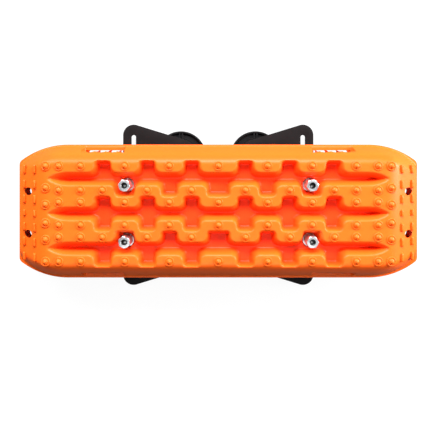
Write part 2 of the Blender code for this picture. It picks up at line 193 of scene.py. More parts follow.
def orange_material(name, tint, low_z, high_z):
    n = Nodes(name)
    wide = n.noise(7.0, 2.0)
    fine = n.noise(160.0, 3.0)
    base = n.ramp(wide, [(0.35, tuple(c * 0.985 for c in tint)), (0.65, tint)])
    warm = n.mix(n.remap(fine, 0.35, 0.65, 0.0, 0.22), base, (tint[0], tint[1] * 0.80, tint[2] * 0.7))
    grain = n.cells(1500.0)
    swirl = n.noise(45.0, 4.0, 0.6)
    normal = n.bump(grain, 0.10, 0.00012)
    normal = n.bump(swirl, 0.10, 0.0006, normal)
    scuff = n.noise(240.0, 5.0, 0.7)
    rough = n.remap(n.math("ADD", n.math("MULTIPLY", swirl, 0.5), n.math("MULTIPLY", scuff, 0.5)), 0.3, 0.7, 0.36, 0.46)
    # Painted shade: by height, the low parts are mixed towards a darker, redder orange to stand in for the shade in the
    # hollows.
    # Only the hollows between the ribs are like that: the open sides and ramps aren't.
    painted_shade = n.remap(n.height(), low_z, high_z, 1.0, 0.0)
    across = n.math("ABSOLUTE", n.math("ADD", n.axis(1), 0.0099))
    along = n.math("ABSOLUTE", n.axis(0))
    painted_shade = n.math("MULTIPLY", painted_shade, n.remap(across, 0.116, 0.130, 1.0, 0.0))
    painted_shade = n.math("MULTIPLY", painted_shade, n.remap(along, 0.372, 0.392, 1.0, 0.0))
    # Painted shade colour for the hollows.
    warm = n.mix(painted_shade, warm, (tint[0] * 0.97, tint[1] * 0.14, tint[2] * 0.3))
    n.set(Base_Color=warm, Roughness=rough, Normal=normal)
    n.shader.inputs["IOR"].default_value = 1.46
    n.shader.inputs["Specular IOR Level"].default_value = 0.26
    return n.material


def powder_coat():
    n = Nodes("powder_coat_black")
    orange_peel = n.noise(900.0, 2.0)
    broad = n.noise(30.0, 3.0)
    base = n.ramp(broad, [(0.3, (0.0080, 0.0062, 0.0064)), (0.7, (0.0115, 0.0088, 0.0092))])
    worn = n.mix(n.math("MULTIPLY", n.edges(0.06), 0.05), base, (0.10, 0.095, 0.095))
    normal = n.bump(orange_peel, 0.35, 0.0003)
    rough = n.remap(n.noise(420.0, 3.0), 0.3, 0.7, 0.40, 0.52)
    n.shader.inputs["Specular IOR Level"].default_value = 0.05
    return n.set(Base_Color=worn, Roughness=rough, Normal=normal)


def black_plastic(name, low, high, rough_low, rough_high, scale=1100.0, depth=0.2):
    n = Nodes(name)
    grain = n.cells(scale)
    broad = n.noise(26.0, 4.0)
    base = n.ramp(broad, [(0.3, low), (0.7, high)])
    normal = n.bump(grain, depth, 0.0002)
    rough = n.remap(n.noise(300.0, 3.0), 0.3, 0.7, rough_low, rough_high)
    n.shader.inputs["Specular IOR Level"].default_value = 0.06
    return n.set(Base_Color=base, Roughness=rough, Normal=normal)


def zinc(name, low, high, rough_low, rough_high):
    """Bright zinc plate over turned or cold-formed steel."""
    n = Nodes(name)
    spangle = n.cells(420.0)
    cloud = n.noise(60.0, 4.0, 0.6)
    tool = n.noise(260.0, 3.0, 0.6, stretch=(1.0, 1.0, 9.0))
    base = n.ramp(n.math("ADD", n.math("MULTIPLY", cloud, 0.7), n.math("MULTIPLY", spangle, 0.3)), [(0.25, low), (0.75, high)])
    normal = n.bump(tool, 0.16, 0.0002)
    rough = n.remap(n.math("ADD", n.math("MULTIPLY", cloud, 0.5), n.math("MULTIPLY", tool, 0.5)), 0.3, 0.7, rough_low, rough_high)
    n.set(Base_Color=base, Roughness=rough, Normal=normal)
    n.shader.inputs["Metallic"].default_value = 1.0
    return n.material


ORANGE = orange_material("orange_nylon", (0.97, 0.135, 0.0085), 0.098, 0.136)
# Painted shade: the lower board's copy of the orange is a little darker and redder than the upper's, for the board that
# lies underneath.
ORANGE_LOWER_PAINTED_SHADE = orange_material("orange_nylon_lower_painted_shade", (0.96, 0.125, 0.008), 0.050, 0.125)
COAT = powder_coat()
PLASTIC = black_plastic("moulded_black", (0.009, 0.0085, 0.009), (0.014, 0.0135, 0.014), 0.34, 0.5)
RUBBER = black_plastic("seal_rubber", (0.011, 0.011, 0.011), (0.017, 0.017, 0.017), 0.62, 0.8, 600.0, 0.3)
SPACER = black_plastic("spacer_black", (0.016, 0.016, 0.017), (0.023, 0.023, 0.024), 0.4, 0.55, 800.0, 0.2)
RED = black_plastic("pump_red", (0.40, 0.020, 0.013), (0.50, 0.028, 0.018), 0.34, 0.46, 1200.0, 0.15)
ZINC = zinc("bright_zinc", (0.66, 0.67, 0.69), (0.84, 0.845, 0.86), 0.34, 0.46)
STEEL = zinc("plated_steel", (0.52, 0.52, 0.53), (0.68, 0.68, 0.69), 0.26, 0.4)
# Painted shade: a near-black metal for the threads inside the nut's bore, standing in for the shade down the bore.
NUT_BORE_PAINTED_SHADE = zinc("nut_bore_painted_shade", (0.05, 0.048, 0.046), (0.09, 0.086, 0.082), 0.45, 0.6)
SPRING = zinc("drawn_wire", (0.40, 0.40, 0.41), (0.52, 0.52, 0.53), 0.28, 0.4)


# =====================================================================
# Mesh helpers, all in millimetres
# =====================================================================
def make(name, points, faces, paint, smooth=35.0):
    mesh = bpy.data.meshes.new(name)
    mesh.from_pydata((np.asarray(points, float) * MM).tolist(), [], faces)
    mesh.validate()
    edit = bmesh.new()
    edit.from_mesh(mesh)
    bmesh.ops.remove_doubles(edit, verts=edit.verts, dist=2e-7)
    bmesh.ops.recalc_face_normals(edit, faces=edit.faces)
    edit.to_mesh(mesh)
    edit.free()
    mesh.shade_smooth()
    if smooth is not None:
        mesh.set_sharp_from_angle(angle=math.radians(smooth))
    mesh.materials.append(paint)
    made = bpy.data.objects.new(name, mesh)
    scene.collection.objects.link(made)
    return made


class Soup:
    """Several closed shells gathered into one mesh."""

    def __init__(self):
        self.points, self.faces = [], []

    def add(self, points, faces, offset=(0.0, 0.0, 0.0), turn=0.0):
        base = len(self.points)
        c, s = math.cos(turn), math.sin(turn)
        for x, y, z in points:
            self.points.append((c * x - s * y + offset[0], s * x + c * y + offset[1], z + offset[2]))
        self.faces += [tuple(i + base for i in face) for face in faces]
        return self


def ring_circle(radius, z, count, centre=(0.0, 0.0)):
    step = 2 * math.pi / count
    return [(centre[0] + radius * math.cos(i * step), centre[1] + radius * math.sin(i * step), z) for i in range(count)]


def ring_hexagon(across_flats, z, count, limit=None):
    points = []
    for i in range(count):
        angle = 2 * math.pi * i / count
        off = angle % (math.pi / 3) - math.pi / 6
        radius = across_flats / 2 / math.cos(off)
        # A drawn bar's corners are very slightly rounded.
        radius = min(radius, across_flats / 2 * 1.1547 - 0.25)
        if limit:
            radius = min(radius, limit)
        points.append((radius * math.cos(angle), radius * math.sin(angle), z))
    return points


def loft(rings, closed=False):
    """Rings joined in order: capped at both ends, or closed into a ring-shaped solid."""
    count = len(rings[0])
    points = [p for ring in rings for p in ring]
    faces = []
    last = len(rings) if closed else len(rings) - 1
    for r in range(last):
        a, b = r * count, ((r + 1) % len(rings)) * count
        for i in range(count):
            j = (i + 1) % count
            faces.append((a + i, a + j, b + j, b + i))
    if not closed:
        faces.append(tuple(range(count))[::-1])
        faces.append(tuple(range((len(rings) - 1) * count, len(rings) * count)))
    return points, faces


def lathe(profile, count, centre=(0.0, 0.0), closed=False):
    """profile is (radius, z) pairs; the ends are capped unless it is closed on itself."""
    return loft([ring_circle(r, z, count, centre) for r, z in profile], closed)


def rounded(profile, radius, steps=3, closed=True):
    """The profile with its corners rounded."""
    made = []
    count = len(profile)
    for i, point in enumerate(profile):
        if not closed and i in (0, count - 1):
            made.append(point)
            continue
        p = np.array(point, float)
        a = np.array(profile[i - 1], float) - p
        b = np.array(profile[(i + 1) % count], float) - p
        la, lb = np.linalg.norm(a), np.linalg.norm(b)
        a, b = a / la, b / lb
        cosine = float(np.clip(a @ b, -1, 1))
        if cosine < -0.985:
            made.append(point)
            continue
        half = math.acos(cosine) / 2
        reach = min(radius / math.tan(half), la * 0.45, lb * 0.45)
        start, end = p + a * reach, p + b * reach
        for k in range(steps + 1):
            t = k / steps
            made.append(tuple((1 - t) ** 2 * start + 2 * t * (1 - t) * p + t ** 2 * end))
    return made


def threaded(major, minor, pitch, low, high, count, tip=None):
    """A helical thread as rings whose radius follows the turn; it runs out at both ends."""
    rows = int((high - low) / pitch * 5) + 1
    rings = []
    for k in range(rows + 1):
        z = low + (high - low) * k / rows
        fade = min(1.0, (z - low) / pitch, (high - z) / pitch)
        ring = []
        for i in range(count):
            angle = 2 * math.pi * i / count
            phase = ((z - low) / pitch - i / count) % 1.0
            crest = min(1.0, max(0.0, 1.5 - abs(phase - 0.5) * 3.6))
            radius = major - (major - minor) * (1 - crest) * max(0.0, fade)
            ring.append((radius * math.cos(angle), radius * math.sin(angle), z))
        rings.append(ring)
    return rings


def carve(target, cutter, operation="DIFFERENCE"):
    modifier = target.modifiers.new("cut", "BOOLEAN")
    modifier.operation = operation
    modifier.solver = "EXACT"
    modifier.object = cutter
    bpy.context.view_layer.update()
    graph = bpy.context.evaluated_depsgraph_get()
    mesh = bpy.data.meshes.new_from_object(target.evaluated_get(graph))
    target.modifiers.remove(modifier)
    old = target.data
    target.data = mesh
    bpy.data.meshes.remove(old)
    bpy.data.objects.remove(cutter, do_unlink=True)
    edit = bmesh.new()
    edit.from_mesh(mesh)
    bmesh.ops.remove_doubles(edit, verts=edit.verts, dist=1e-6)
    edit.to_mesh(mesh)
    edit.free()
    mesh.shade_smooth()
    mesh.set_sharp_from_angle(angle=math.radians(35))


def settle(piece, body, node):
    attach(piece, body)
    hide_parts(node)
    return piece


# =====================================================================
# The boards
# =====================================================================
LENGTH, WIDTH, TOP = 915.0, 306.0, 60.0
BOARD_Y, LOWER_Z, PITCH = -9.9, 50.0, 25.0
ARC_X, ARC_R, CORNER = 345.0, 178.6, 14.0
ARC_Y = WIDTH / 2 - ARC_R
SIDE_SLOPE = 56.0 / 22.0
END_SLOPE = 56.0 / 6.5
RAMP_X, RAMP_SLOPE = 385.0, 0.607
DRAFT = 0.42
FLOOR, POCKET_FLOOR, POCKET_R = 35.0, 27.0, 15.6
SKIN, ACROSS = 3.5, 3.7
PIN = (204.0, 61.5)
CHANNEL_Y, CHANNEL_HALF, MIDDLE_HALF = 75.95, 13.35, 13.7
FRAME_END, RIB_END = 115.8, 37.8
HOLD_X, HOLD_HALF = 259.5, 45.5
END_HOLE, END_HOLE_R = (423.5, 47.4), 8.5


def smooth_min(a, b, k):
    h = np.maximum(k - np.abs(a - b), 0.0) / k
    return np.minimum(a, b) - h * h * k * 0.25


def smooth_max(a, b, k):
    return -smooth_min(-a, -b, k)


def fillet_chain(corners, steps=5):
    """(x, y, radius) corners of a closed outline, rounded with arcs."""
    made = []
    count = len(corners)
    for i, (x, y, radius) in enumerate(corners):
        p = np.array((x, y))
        a = np.array(corners[i - 1][:2]) - p
        b = np.array(corners[(i + 1) % count][:2]) - p
        la, lb = np.linalg.norm(a), np.linalg.norm(b)
        if radius <= 0 or la < 1e-6 or lb < 1e-6:
            made.append(tuple(p))
            continue
        a, b = a / la, b / lb
        cosine = float(np.clip(a @ b, -1, 1))
        if abs(cosine) > 0.999:
            made.append(tuple(p))
            continue
        half = math.acos(cosine) / 2
        reach = min(radius / math.tan(half), la * 0.49, lb * 0.49)
        real = reach * math.tan(half)
        centre = p + (a + b) / np.linalg.norm(a + b) * (real / math.sin(half))
        start, end = p + a * reach - centre, p + b * reach - centre
        first = math.atan2(start[1], start[0])
        sweep = (math.atan2(end[1], end[0]) - first + math.pi) % (2 * math.pi) - math.pi
        for k in range(steps + 1):
            angle = first + sweep * k / steps
            made.append((centre[0] + real * math.cos(angle), centre[1] + real * math.sin(angle)))
    return made


def notch(station, line, end):
    """One notch, listed from +X to -X: mouth corner, then end corner."""
    if abs(station) > 203 and abs(station) < 205:
        mouth, close, r_mouth, r_end = 25.0, 19.0, 11.0, 6.5
    elif station == 0.0:
        mouth, close, r_mouth, r_end = 26.0, 24.5, 13.0, 7.0
    else:
        mouth, close, r_mouth, r_end = 19.6, 17.8, 13.5, 8.5
    return [
        (station + mouth, line, r_mouth), (station + close, end, r_end),
        (station - close, end, r_end), (station - mouth, line, r_mouth),
    ]


def tip(centre, half):
    """The boat-shaped +X end, from its lower edge round to its upper edge."""
    start, end = 318.0, 370.5
    shares = [0.0, 0.15, 0.3, 0.45, 0.58, 0.7, 0.8, 0.88, 0.94, 0.98]
    upper = [(start + (end - start) * t, centre + half * (1 - t ** 2.7) ** 0.95, 0.0) for t in shares]
    lower = [(x, 2 * centre - y, 0.0) for x, y, _ in upper]
    return lower + [(end, centre, 0.0)] + upper[::-1]


def channel_outline(kind):
    frame_stations = (58.7, 155.3, 252.5)
    rib_stations = (0.0, 107.0, 204.0)

    def row(stations, line, end):
        points = []
        for station in sorted({s * x for x in stations for s in (1, -1)}, reverse=True):
            points += notch(station, line, end)
        return points

    if kind:
        centre, half = CHANNEL_Y, CHANNEL_HALF
        upper = row(frame_stations, centre + half, FRAME_END)
        lower = row(rib_stations, centre - half, RIB_END)
    else:
        centre, half = 0.0, MIDDLE_HALF
        upper = row(frame_stations, half, RIB_END)
        lower = row(frame_stations, -half, -RIB_END)
    right = tip(centre, half)
    left = [(-x, y, r) for x, y, r in right[::-1]]
    return np.array(fillet_chain(right + upper + left + lower[::-1]))


def inside_distance(x, y, outline):
    """Distance to the outline, positive inside it."""
    a = outline
    b = np.roll(outline, -1, axis=0)
    best = np.full(x.shape, 1e9)
    inside = np.zeros(x.shape, bool)
    for (ax, ay), (bx, by) in zip(a, b):
        dx, dy = bx - ax, by - ay
        length = dx * dx + dy * dy
        if length < 1e-12:
            continue
        t = np.clip(((x - ax) * dx + (y - ay) * dy) / length, 0, 1)
        best = np.minimum(best, (x - ax - t * dx) ** 2 + (y - ay - t * dy) ** 2)
        crosses = (ay > y) != (by > y)
        if abs(dy) > 1e-12:
            inside ^= crosses & (x < ax + dx * (y - ay) / dy)
    return np.where(inside, 1.0, -1.0) * np.sqrt(best)


def rim_distances(x, y):
    """(distance in from the long side and its arc, from the end, from the whole outline)."""
    end = LENGTH / 2 - x
    side = np.where(x <= ARC_X, WIDTH / 2 - y, ARC_R - np.hypot(x - ARC_X, y - ARC_Y))
    small_x = LENGTH / 2 - CORNER
    small_y = ARC_Y + math.sqrt((ARC_R - CORNER) ** 2 - (small_x - ARC_X) ** 2)
    meet = math.atan2(small_y - ARC_Y, small_x - ARC_X)
    angle = np.arctan2(y - small_y, x - small_x)
    rounded_rim = CORNER - np.hypot(x - small_x, y - small_y)
    whole = np.where((angle > 0) & (angle < meet) , rounded_rim, np.minimum(side, end))
    return side, end, whole


def hold_wave(x):
    """How far the finger scallops reach in beyond the hand-hold's straight edge."""
    return 3.4 * np.abs(np.sin(math.pi * (x - 227.6) / 25.1)) ** 0.6 - 1.5


def region(x, y):
    """Positive where the board has material in plan, as a distance."""
    side, end, whole = rim_distances(x, y)
    # Drilled square to the ramp, so longer in plan along X.
    hole = (1.0 - np.hypot((x - END_HOLE[0]) / (END_HOLE_R + 2.3), (y - END_HOLE[1]) / (END_HOLE_R + 0.6))) * (END_HOLE_R + 1.2)
    pin = 6.3 - np.hypot(x - PIN[0], y - PIN[1])
    across = np.minimum(side - 12.3, 17.0 + hold_wave(x) - side)
    along = HOLD_HALF - np.abs(x - HOLD_X)
    corner = 3.0
    both = np.minimum(across - corner, 0) ** 2 + np.minimum(along - corner, 0) ** 2
    hold = np.minimum(np.minimum(across, along), corner - np.sqrt(both))
    return np.minimum(whole, -np.maximum(np.maximum(hole, pin), hold))


def board_height(x, y, shrink, outlines):
    """Height of the outer skin, or of the inner one when shrink is the wall's level thickness."""
    down = 0.0 if shrink == 0 else SKIN
    side, end, whole = rim_distances(x, y)
    by_side = 4.0 + SIDE_SLOPE * (side - shrink - 4.0)
    by_end = 4.0 + END_SLOPE * (end - shrink - 4.0)
    ramp = TOP - RAMP_SLOPE * (x - RAMP_X) - down * math.sqrt(1 + RAMP_SLOPE ** 2)
    deck = smooth_min(np.full(x.shape, TOP - down), ramp, 11.0)
    body = smooth_min(smooth_min(deck, by_side, 50.0), by_end, 15.0)
    rear, middle = outlines
    steep = 0.7 + 0.3 * np.clip((np.hypot((x - PIN[0]), (y - 50.0) * 0.9) - 24.0) / 16.0, 0, 1)
    trough = np.full(x.shape, -1e9)
    for distance, centre, half in ((rear, CHANNEL_Y, CHANNEL_HALF), (middle, 0.0, MIDDLE_HALF)):
        # The notches' own walls stand steeper than the channel's long ones.
        into = np.clip((np.abs(y - centre) - half + 1.0) / 7.0, 0, 1)
        draft = np.minimum(DRAFT * steep, DRAFT - 0.14 * into)
        trough = np.maximum(trough, (distance + (shrink if shrink else 0.0)) / draft)
    # A broad round at the rim, a tighter one at the foot.
    line = TOP + 1.5 - 1.07 * trough
    cut = smooth_max(line, np.full(x.shape, FLOOR - down), 5.0)
    height = smooth_min(body, cut, 12.0)
    radius = np.hypot(x - PIN[0], y - PIN[1])
    pocket_r = POCKET_R + (SKIN if shrink else 0.0)
    pocket = smooth_max((radius - pocket_r) * 9.0 + POCKET_FLOOR - down, np.full(x.shape, POCKET_FLOOR - down), 3.0)
    height = np.where(radius < pocket_r + 1.2, np.minimum(height, pocket), height)
    if shrink == 0:
        # The hand-hold's lower lip is a level ledge cut into the sloping side.
        across = side - 4.0
        along = HOLD_HALF + 0.6 - np.abs(x - HOLD_X)
        corner = 5.0
        out = np.sqrt(np.minimum(across - corner, 0) ** 2 + np.minimum(along - corner, 0) ** 2) - corner
        ledge = smooth_max(5.4 + out * 14.0, np.full(x.shape, 5.4), 2.0)
        near = (side > 3.0) & (along > -4.5)
        height = np.where(near & (side < 17.0 + hold_wave(x)), np.minimum(height, ledge), height)
        height = smooth_max(height, np.full(x.shape, 4.0), 2.0)
        height = np.where(whole < 0.6, np.minimum(height, 4.2), height)
    return height


def board_mesh(step):
    """The board's quarter as a grid fitted to its rim and holes, mirrored twice, then given its inner skin."""
    nx, ny = int(round(LENGTH / 2 / step)), int(round(WIDTH / 2 / step))
    xs, ys = np.linspace(0, LENGTH / 2, nx + 1), np.linspace(0, WIDTH / 2, ny + 1)
    gx, gy = np.meshgrid(xs, ys, indexing="ij")
    value = region(gx, gy)
    # Grid points close to an edge move onto it, so that no sliver is left.
    h = 1e-3
    for _ in range(2):
        slope_x = (region(gx + h, gy) - region(gx - h, gy)) / (2 * h)
        slope_y = (region(gx, gy + h) - region(gx, gy - h)) / (2 * h)
        size = np.maximum(np.hypot(slope_x, slope_y), 1e-6)
        near = (np.abs(value) < 0.42 * step) & (np.abs(value) > 1e-9)
        keep_x = (gx > 0) & (gx < LENGTH / 2)
        keep_y = (gy > 0) & (gy < WIDTH / 2)
        gx = np.where(near & keep_x, gx - value * slope_x / size ** 2, gx)
        gy = np.where(near & keep_y, gy - value * slope_y / size ** 2, gy)
        moved = near & keep_x & keep_y
        value = region(gx, gy)
        value = np.where(moved & (np.abs(value) < 0.12), 0.0, value)
    value = np.where(np.abs(value) < 1e-6, 0.0, value)
    points = list(zip(gx.ravel().tolist(), gy.ravel().tolist()))
    number = np.arange((nx + 1) * (ny + 1)).reshape(nx + 1, ny + 1)
    inside = value >= 0
    corner_count = (
        inside[:-1, :-1].astype(int) + inside[1:, :-1] + inside[1:, 1:] + inside[:-1, 1:]
    )
    full = corner_count == 4
    quads = np.stack(
        [number[:-1, :-1][full], number[1:, :-1][full], number[1:, 1:][full], number[:-1, 1:][full]], axis=1
    )
    faces = [tuple(q) for q in quads.tolist()]
    crossings = {}

    def crossing(p, q):
        key = (min(p, q), max(p, q))
        if key not in crossings:
            vp, vq = value[p], value[q]
            t = vp / (vp - vq)
            x = gx[p] + (gx[q] - gx[p]) * t
            y = gy[p] + (gy[q] - gy[p]) * t
            crossings[key] = len(points)
            points.append((float(x), float(y)))
        return crossings[key]

    for i, j in zip(*np.nonzero((corner_count > 0) & (corner_count < 4))):
        around = [(i, j), (i + 1, j), (i + 1, j + 1), (i, j + 1)]
        face = []
        for k in range(4):
            p, q = around[k], around[(k + 1) % 4]
            if inside[p]:
                face.append(int(number[p]))
            if inside[p] != inside[q] and not (value[p] == 0 or value[q] == 0):
                face.append(crossing(p, q))
        if len(face) >= 3:
            faces.append(tuple(face))
    plan = np.array(points)
    outlines = (
        inside_distance(plan[:, 0], plan[:, 1], channel_outline(1)),
        inside_distance(plan[:, 0], plan[:, 1], channel_outline(0)),
    )
    outer = board_height(plan[:, 0], plan[:, 1], 0.0, outlines)
    inner = board_height(plan[:, 0], plan[:, 1], ACROSS, outlines)
    inner = np.minimum(inner, outer - 2.2)
    inner = np.maximum(inner, 0.0)
    inner = np.where(inner < 0.8, 0.0, inner)

    # Mirror the quarter and weld it along both centre lines.
    used = np.unique(np.concatenate([np.array(f) for f in faces]))
    remap = np.full(len(plan), -1)
    remap[used] = np.arange(len(used))
    quarter = np.column_stack([plan[used], outer[used], inner[used]])
    quarter_faces = [tuple(int(remap[i]) for i in f) for f in faces]
    all_points, all_faces = [], []
    for sx in (1, -1):
        for sy in (1, -1):
            base = len(all_points) * len(quarter)
            all_points.append(quarter * (sx, sy, 1, 1))
            flip = sx * sy < 0
            for f in quarter_faces:
                g = tuple(i + base for i in f)
                all_faces.append(g[::-1] if flip else g)
    stacked = np.concatenate(all_points)
    keys = np.round(stacked[:, :2] * 2000).astype(np.int64)
    _, first, index = np.unique(keys, axis=0, return_index=True, return_inverse=True)
    index = index.reshape(-1)
    welded = stacked[first]
    top_faces = []
    for f in all_faces:
        g = [int(index[i]) for i in f]
        g = [v for k, v in enumerate(g) if v != g[k - 1]]
        if len(g) >= 3 and len(set(g)) == len(g):
            top_faces.append(tuple(g))
    count = len(welded)
    edge_use = {}
    for f in top_faces:
        for k in range(len(f)):
            a, b = f[k], f[(k + 1) % len(f)]
            if (b, a) in edge_use:
                del edge_use[(b, a)]
            else:
                edge_use[(a, b)] = 1
    points3 = np.concatenate([welded[:, :3], welded[:, [0, 1, 3]]])
    bottom_faces = [tuple(i + count for i in f[::-1]) for f in top_faces]
    sides = [(b, a, a + count, b + count) for a, b in edge_use]
    return points3, top_faces + bottom_faces + sides


STUD_PROFILE = [
    (10.9, -1.5), (10.75, 0.0), (10.4, 1.0), (9.7, 1.7), (8.8, 1.9), (8.0, 1.6), (7.3, 1.05), (6.8, 0.9),
    (6.55, 1.2), (6.4, 2.1), (6.0, 3.1), (5.4, 3.9), (4.6, 4.45), (3.9, 4.75), (3.4, 5.1),
    (3.1, 5.7), (2.7, 6.4), (2.1, 6.95), (1.3, 7.3), (0.4, 7.45),
]


def stud_places():
    places = []
    for x in (0.0, 107.0, 204.0):
        places += [(x, 103.8), (x, 24.7)]
    places += [(x, 51.1) for x in (58.7, 155.3, 252.5)]
    for x in (300.0, 347.5):
        places += [(x, 103.8), (x, 51.1), (x, 24.7)]
    places += [(376.0, y) for y in (103.8, 56.2, 20.1)]
    return sorted({(sx * x, sy * y) for x, y in places for sx in (1, -1) for sy in (1, -1)})


def cleat(length):
    """One low ridge of the end ramp, running along Y, on the ramp's surface."""
    rings = []
    rows = [(-0.5, 0.25), (-0.47, 0.7), (-0.42, 0.93), (-0.3, 1.0), (0.3, 1.0), (0.42, 0.93), (0.47, 0.7), (0.5, 0.25)]
    for along, size in rows:
        wide, tall = 4.2 * (0.7 + 0.3 * size), 5.8 * size
        section = [(-1.0, -1.2), (-1.0, -0.3), (-0.87, 0.3), (-0.62, 0.8), (-0.3, 0.98), (0.15, 1.0), (0.55, 0.9), (0.82, 0.5), (0.95, -0.2), (0.95, -1.2)]
        rings.append([(wide * u, length * along, tall * v if v > -1 else -1.5) for u, v in section])
    return rings


def board(name, base_z, step, paint):
    points, faces = board_mesh(step)
    points = points + np.array((0.0, BOARD_Y, base_z))
    soup_points, soup_faces = [], []

    def extra(p, f):
        offset = len(points) + len(soup_points)
        soup_points.extend(p)
        soup_faces.extend(tuple(i + offset for i in g) for g in f)

    ring = STUD_PROFILE
    for x, y in stud_places():
        p, f = lathe(ring, 26, (x, y + BOARD_Y))
        extra([(a, b, c + base_z + TOP) for a, b, c in p], f)
    for x in (404.5, 434.5):
        for y in (0.0, 31.0, 63.5, 97.0):
            length = 14.0 if y == 0 else 19.0
            for sx in (1, -1):
                for sy in ((1, -1) if y else (1,)):
                    rings = []
                    for section in cleat(length):
                        rings.append([
                            (sx * (x + u), sy * y + v + BOARD_Y, base_z + TOP - RAMP_SLOPE * (x + u - RAMP_X) + w)
                            for u, v, w in section
                        ])
                    p, f = loft(rings)
                    extra(p, f)
    mesh = bpy.data.meshes.new(name)
    everything = np.concatenate([points, np.array(soup_points)]) * MM
    mesh.from_pydata(everything.tolist(), [], faces + soup_faces)
    mesh.validate()
    edit = bmesh.new()
    edit.from_mesh(mesh)
    bmesh.ops.recalc_face_normals(edit, faces=edit.faces)
    edit.to_mesh(mesh)
    edit.free()
    mesh.shade_smooth()
    mesh.set_sharp_from_angle(angle=math.radians(60))
    mesh.materials.append(paint)
    made = bpy.data.objects.new(name, mesh)
    scene.collection.objects.link(made)
    return made


upper = board("traction_board_top", LOWER_Z + PITCH, 2.0, ORANGE)
settle(upper, "upper_deck", "upper_board")
lower = board("traction_board_under", LOWER_Z, 2.6, ORANGE_LOWER_PAINTED_SHADE)
settle(lower, "lower_deck", "lower_board")


# =====================================================================
# The two plates
# =====================================================================
def plate(name, sx, node):
    """A flat outline with its slots and holes, filled and given eased edges."""
    from mathutils.geometry import convex_hull_2d

    rim = []
    ease = 0.6
    for x, y, radius in ((204.3, 168.1, 25.5), (91.3, 117.2, 41.0)):
        for sy in (1, -1):
            rim += [Vector((x + radius * math.cos(a), sy * y + radius * math.sin(a))) for a in np.linspace(0, 2 * math.pi, 97)[:-1]]
    hull = [rim[i] for i in convex_hull_2d(rim)]
    loops = [[(p.x, p.y) for p in hull]]
    for low, high in ((30.0, 168.5), (-168.5, -30.0)):
        half = 5.5
        loop = []
        for k in range(17):
            a = math.pi * k / 16
            loop.append((204.3 + half * math.cos(a), high - half + half * math.sin(a)))
        for k in range(17):
            a = math.pi + math.pi * k / 16
            loop.append((204.3 + half * math.cos(a), low + half + half * math.sin(a)))
        loops.append(loop)
    for sy in (1, -1):
        loops.append([(91.3 + 4.7 * math.cos(a), sy * 117.2 + 4.7 * math.sin(a)) for a in np.linspace(0, 2 * math.pi, 33)[:-1]])
    edit = bmesh.new()
    edges = []
    for loop in loops:
        row = [edit.verts.new((sx * x * MM, y * MM, 25.0 * MM)) for x, y in loop]
        edges += [edit.edges.new((row[i], row[(i + 1) % len(row)])) for i in range(len(row))]
    bmesh.ops.triangle_fill(edit, use_beauty=True, use_dissolve=False, edges=edges)
    bmesh.ops.recalc_face_normals(edit, faces=edit.faces)
    extruded = bmesh.ops.extrude_face_region(edit, geom=edit.faces[:])
    bmesh.ops.translate(edit, vec=(0, 0, 5.0 * MM), verts=[g for g in extruded["geom"] if isinstance(g, bmesh.types.BMVert)])
    bmesh.ops.recalc_face_normals(edit, faces=edit.faces)
    sharp = [e for e in edit.edges if len(e.link_faces) == 2 and e.calc_face_angle(0) > 1.2 and abs(e.verts[0].co.z - e.verts[1].co.z) < 1e-6]
    bmesh.ops.bevel(edit, geom=sharp, offset=ease * MM, segments=2, profile=0.6, affect="EDGES")
    mesh = bpy.data.meshes.new(name)
    edit.to_mesh(mesh)
    edit.free()
    mesh.shade_smooth()
    mesh.set_sharp_from_angle(angle=math.radians(30))
    mesh.materials.append(COAT)
    made = bpy.data.objects.new(name, mesh)
    scene.collection.objects.link(made)
    return settle(made, "mount", node)


for side, sx in SIDES:
    plate(f"mount_plate_{side}", sx, f"bracket_plate_{side}")


# =====================================================================
# Vacuum cups and their pumps
# =====================================================================
CUP = (91.3, 117.2)
PUMP_AT = 50.5


def housing():
    """Dished cover with rim, well, boss, two radial ribs and the pump barrel."""
    profile = rounded([
        (61.5, 6.3), (61.5, 15.0), (57.2, 15.0), (55.4, 10.0), (27.4, 10.0), (24.0, 13.0), (23.6, 24.7),
        (4.4, 24.7), (4.4, 7.4), (14.0, 6.3),
    ], 1.1, 3)
    points, faces = lathe(profile, 96, closed=True)
    body = make("housing_master", points, faces, PLASTIC)
    for s in (1, -1):
        section = rounded([(-1.9, 0.0), (-1.6, 5.0), (1.6, 5.0), (1.9, 0.0)], 1.0, 3)
        rings = []
        for along in (37.4, 37.9, 57.2, 57.6):
            rings.append([(s * 3.4 + u, along, 9.4 + w) for u, w in section])
        p, f = loft(rings)
        carve(body, make("rib", p, f, PLASTIC), "UNION")
    ring_line = lathe(rounded([(44.6, 9.2), (44.6, 10.7), (43.0, 10.7), (43.0, 9.2)], 0.4, 2), 96, closed=True)
    carve(body, make("ring_line", *ring_line, PLASTIC), "UNION")
    barrel = lathe(rounded([(8.4, 9.0), (8.4, 19.0), (6.9, 19.0), (6.9, 9.0)], 0.6, 2), 48, (PUMP_AT, 0), closed=True)
    solid = lathe([(8.0, 8.0), (8.0, 18.0)], 48, (PUMP_AT, 0))
    carve(body, make("barrel_core", *solid, PLASTIC), "UNION")
    carve(body, make("barrel", *barrel, PLASTIC), "UNION")
    carve(body, make("bore", *lathe([(6.2, 8.5), (6.2, 22.0)], 48, (PUMP_AT, 0)), PLASTIC))
    return body


def mirrored_copy(source, name, location, turn, flip):
    made = bpy.data.objects.new(name, source.data.copy())
    matrix = Matrix.Rotation(turn, 4, "Z")
    if flip:
        matrix = matrix @ Matrix.Diagonal((-1.0, 1.0, 1.0, 1.0))
    made.data.transform(matrix)
    if flip:
        made.data.flip_normals()
    made.data.transform(Matrix.Translation(Vector(location) * MM))
    scene.collection.objects.link(made)
    return made


